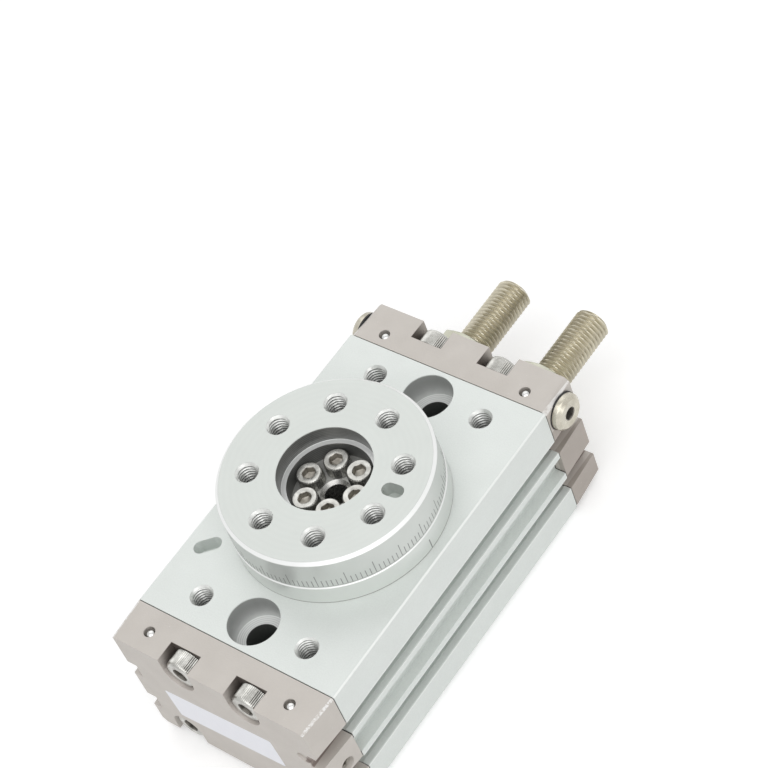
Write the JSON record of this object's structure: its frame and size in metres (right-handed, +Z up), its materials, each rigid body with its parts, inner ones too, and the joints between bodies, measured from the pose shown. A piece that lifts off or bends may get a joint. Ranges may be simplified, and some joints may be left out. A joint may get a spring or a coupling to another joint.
{
  "type": "pneumatic rotary table",
  "caption": "Compact pneumatic rotary table with a rack-and-pinion drive, a round flanged table with a hollow shaft, and two adjusting stop bolts.",
  "frame": {"origin": "where the table's axis meets the bottom face of the block", "axes": "+Z up along the axis of the table, +Y towards the end with the adjusting bolts, +X to the right when the bolts point away"},
  "size_m": [0.0538, 0.117, 0.047],
  "materials": {
    "block_anodised": "fine blasted and clear anodised",
    "cover_cast": "blasted die casting, satin paint",
    "gasket_rubber": "matt",
    "screw_steel": "nickel plated",
    "bright_steel": "ground and polished",
    "plug_plated": "nickel plated",
    "dark_steel": "blackened",
    "turned_aluminium": "fine turned",
    "shaft_steel": "ground",
    "piston_steel": "ground",
    "seal_rubber": "matt",
    "wear_plastic": "matt",
    "magnet_black": "matt",
    "bolt_plated": "zinc and nickel plated",
    "washer_steel": "plated",
    "nut_plated": "zinc plated"
  },
  "bodies": {
    "housing": {"main_body": "block_anodised", "front_cover": "cover_cast", "rear_cover": "cover_cast", "front_gasket": "gasket_rubber", "rear_gasket": "gasket_rubber", "front_cover_screws": "screw_steel", "rear_cover_screws": "screw_steel", "front_seal_balls": "bright_steel", "rear_seal_balls": "bright_steel", "left_port_plug": "plug_plated", "right_port_plug": "plug_plated", "front_set_screws": "dark_steel", "bearing_retainer": "turned_aluminium", "retainer_screws": "screw_steel", "upper_bearing_outer_ring": "bright_steel", "upper_bearing_balls": "bright_steel", "lower_bearing_outer_ring": "bright_steel", "lower_bearing_balls": "bright_steel", "bearing_clip": "dark_steel"},
    "rotor": {"table": "turned_aluminium", "table_screws": "screw_steel", "table_pin": "bright_steel", "pinion_shaft": "shaft_steel", "upper_bearing_inner_ring": "bright_steel", "lower_bearing_inner_ring": "bright_steel"},
    "left_piston": {"left_rack_piston": "piston_steel", "left_front_seal": "seal_rubber", "left_rear_seal": "seal_rubber", "left_wear_ring": "wear_plastic", "left_magnet": "magnet_black"},
    "left_pad_carrier": {"left_stop_pad": "seal_rubber"},
    "left_bolt": {"left_adjusting_bolt": "bolt_plated"},
    "left_washer_carrier": {"left_seal_washer": "washer_steel"},
    "left_nut": {"left_lock_nut": "nut_plated"},
    "right_piston": {"right_rack_piston": "piston_steel", "right_front_seal": "seal_rubber", "right_rear_seal": "seal_rubber", "right_wear_ring": "wear_plastic", "right_magnet": "magnet_black"},
    "right_pad_carrier": {"right_stop_pad": "seal_rubber"},
    "right_bolt": {"right_adjusting_bolt": "bolt_plated"},
    "right_washer_carrier": {"right_seal_washer": "washer_steel"},
    "right_nut": {"right_lock_nut": "nut_plated"}
  },
  "joints": [
    {"name": "table_turn", "type": "hinge", "parent": "housing", "child": "rotor", "pos_m": [0, 0, 0.0165], "axis": [0, 0, 1], "range_deg": [-101.2, 88.8]},
    {"name": "left_rack_slide", "type": "slide", "parent": "housing", "child": "left_piston", "axis": [0, 1, 0], "range_m": [-0.0093, 0.0106]},
    {"name": "right_rack_slide", "type": "slide", "parent": "housing", "child": "right_piston", "axis": [0, 1, 0], "range_m": [-0.0106, 0.0093]},
    {"name": "left_bolt_travel", "type": "slide", "parent": "housing", "child": "left_pad_carrier", "axis": [0, 1, 0], "range_m": [0, 0.003]},
    {"name": "left_bolt_turn", "type": "hinge", "parent": "left_pad_carrier", "child": "left_bolt", "pos_m": [-0.0102, 0.06, 0.0165], "axis": [0, 1, 0], "range_deg": [0, 1080]},
    {"name": "left_nut_travel", "type": "slide", "parent": "housing", "child": "left_washer_carrier", "axis": [0, 1, 0], "range_m": [0, 0.003]},
    {"name": "left_nut_turn", "type": "hinge", "parent": "left_washer_carrier", "child": "left_nut", "pos_m": [-0.0102, 0.05, 0.0165], "axis": [0, 1, 0], "range_deg": [0, 1080]},
    {"name": "right_bolt_travel", "type": "slide", "parent": "housing", "child": "right_pad_carrier", "axis": [0, 1, 0], "range_m": [0, 0.003]},
    {"name": "right_bolt_turn", "type": "hinge", "parent": "right_pad_carrier", "child": "right_bolt", "pos_m": [0.0102, 0.06, 0.0165], "axis": [0, 1, 0], "range_deg": [0, 1080]},
    {"name": "right_nut_travel", "type": "slide", "parent": "housing", "child": "right_washer_carrier", "axis": [0, 1, 0], "range_m": [0, 0.003]},
    {"name": "right_nut_turn", "type": "hinge", "parent": "right_washer_carrier", "child": "right_nut", "pos_m": [0.0102, 0.05, 0.0165], "axis": [0, 1, 0], "range_deg": [0, 1080]}
  ],
  "couplings": [
    {"joint": "table_turn", "follows": "left_rack_slide", "rad_per_m": -166.67},
    {"joint": "right_rack_slide", "follows": "left_rack_slide", "ratio": -1},
    {"joint": "left_bolt_turn", "follows": "left_bolt_travel", "rad_per_m": 6283.2},
    {"joint": "left_nut_turn", "follows": "left_nut_travel", "rad_per_m": 6283.2},
    {"joint": "right_bolt_turn", "follows": "right_bolt_travel", "rad_per_m": 6283.2},
    {"joint": "right_nut_turn", "follows": "right_nut_travel", "rad_per_m": 6283.2}
  ]
}
